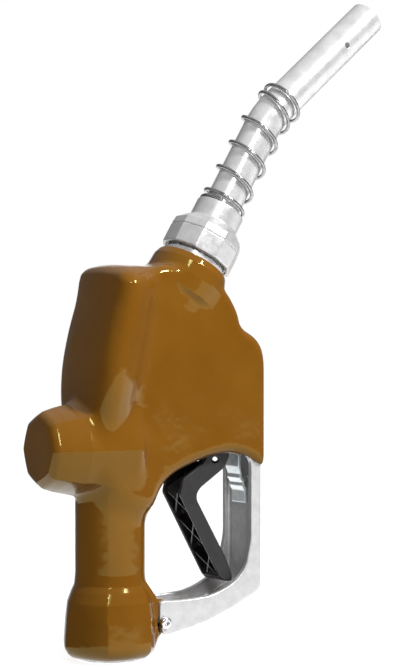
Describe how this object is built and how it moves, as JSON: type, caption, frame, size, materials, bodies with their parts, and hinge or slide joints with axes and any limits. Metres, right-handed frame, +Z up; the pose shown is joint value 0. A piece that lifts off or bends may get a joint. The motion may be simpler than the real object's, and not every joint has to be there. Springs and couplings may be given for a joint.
{
  "type": "fuel nozzle",
  "caption": "Automatic shut-off fuel nozzle: vinyl-covered body and grip, lever inside a cast guard, clamp nut and bent spout with a wire spring.",
  "frame": {"origin": "centre of the hose inlet's end face", "axes": "+Z up the grip, from the hose end to the spout; +X from the main cap to the lever and its guard; +Y to the left"},
  "size_m": [0.2221, 0.062, 0.3661],
  "materials": {
    "vinyl": "glossy dipped vinyl",
    "cast_aluminium": "cast and tumbled",
    "spout_aluminium": "satin",
    "black_plastic": "moulded",
    "zinc_plate": "bright zinc plate",
    "spring_steel": "drawn wire",
    "bright_steel": "polished",
    "brass": "machined",
    "rubber": "moulded"
  },
  "bodies": {
    "nozzle_body": {"body_casting": "cast_aluminium", "hand_insulator": "vinyl", "lever_guard": "cast_aluminium", "guard_screw_left": "bright_steel", "guard_screw_right": "bright_steel", "guard_top_pin": "bright_steel", "clip_pin": "bright_steel", "clip_spring": "spring_steel", "spout_nut": "cast_aluminium", "spout": "spout_aluminium", "spout_spring": "spring_steel", "spout_adapter": "brass", "spout_seal": "rubber", "check_seat": "brass", "check_spring": "spring_steel", "vent_tube": "brass", "plunger_spring": "spring_steel", "diaphragm": "rubber", "diaphragm_spring": "spring_steel", "vacuum_cap": "cast_aluminium", "vacuum_cap_screw_1": "bright_steel", "vacuum_cap_screw_2": "bright_steel", "vacuum_cap_screw_3": "bright_steel", "vacuum_cap_screw_4": "bright_steel", "main_spring": "spring_steel", "main_cap": "cast_aluminium", "main_cap_seal": "rubber", "stem_packing": "rubber", "packing_nut": "brass"},
    "plunger": {"plunger": "bright_steel", "latch_ball_1": "bright_steel", "latch_ball_2": "bright_steel", "latch_ball_3": "bright_steel", "lever_pivot_pin": "bright_steel"},
    "lever": {"lever": "black_plastic"},
    "main_valve": {"main_stem": "bright_steel", "main_poppet": "brass", "poppet_seal": "rubber"},
    "latch": {"latch_pin": "bright_steel", "diaphragm_plate": "bright_steel"},
    "check_valve": {"check_poppet": "brass"},
    "clip": {"hold_open_clip": "zinc_plate"}
  },
  "joints": [
    {"name": "plunger_drop", "type": "slide", "parent": "nozzle_body", "child": "plunger", "axis": [0.9613, 0, -0.2756], "range_m": [0, 0.005], "stiffness_N_per_m": 400, "springref_m": -0.003, "deforming": ["plunger_spring"]},
    {"name": "lever_squeeze", "type": "hinge", "parent": "plunger", "child": "lever", "pos_m": [0.062, 0, 0.147], "axis": [0, 1, 0], "range_deg": [0, 16], "stiffness_Nm_per_rad": 0.3, "springref_deg": -17.19},
    {"name": "main_valve_lift", "type": "slide", "parent": "nozzle_body", "child": "main_valve", "axis": [-1, 0, 0], "range_m": [0, 0.0105], "stiffness_N_per_m": 100, "springref_m": -0.003, "deforming": ["main_spring"]},
    {"name": "latch_lift", "type": "slide", "parent": "nozzle_body", "child": "latch", "axis": [-0.9613, 0, 0.2756], "range_m": [0, 0.002], "stiffness_N_per_m": 400, "springref_m": -0.002, "deforming": ["diaphragm", "diaphragm_spring"]},
    {"name": "check_lift", "type": "slide", "parent": "nozzle_body", "child": "check_valve", "axis": [0.5075, 0, 0.8616], "range_m": [0, 0.004], "stiffness_N_per_m": 300, "springref_m": -0.003, "deforming": ["check_spring"]},
    {"name": "clip_swing", "type": "hinge", "parent": "nozzle_body", "child": "clip", "pos_m": [0.08, 0, 0.1123], "axis": [0, 1, 0], "range_deg": [0, 20], "stiffness_Nm_per_rad": 0.02, "springref_deg": -17.19, "deforming": ["clip_spring"]}
  ],
  "couplings": [
    {"joint": "main_valve_lift", "follows": "lever_squeeze", "m_per_rad": 0.0368}
  ]
}
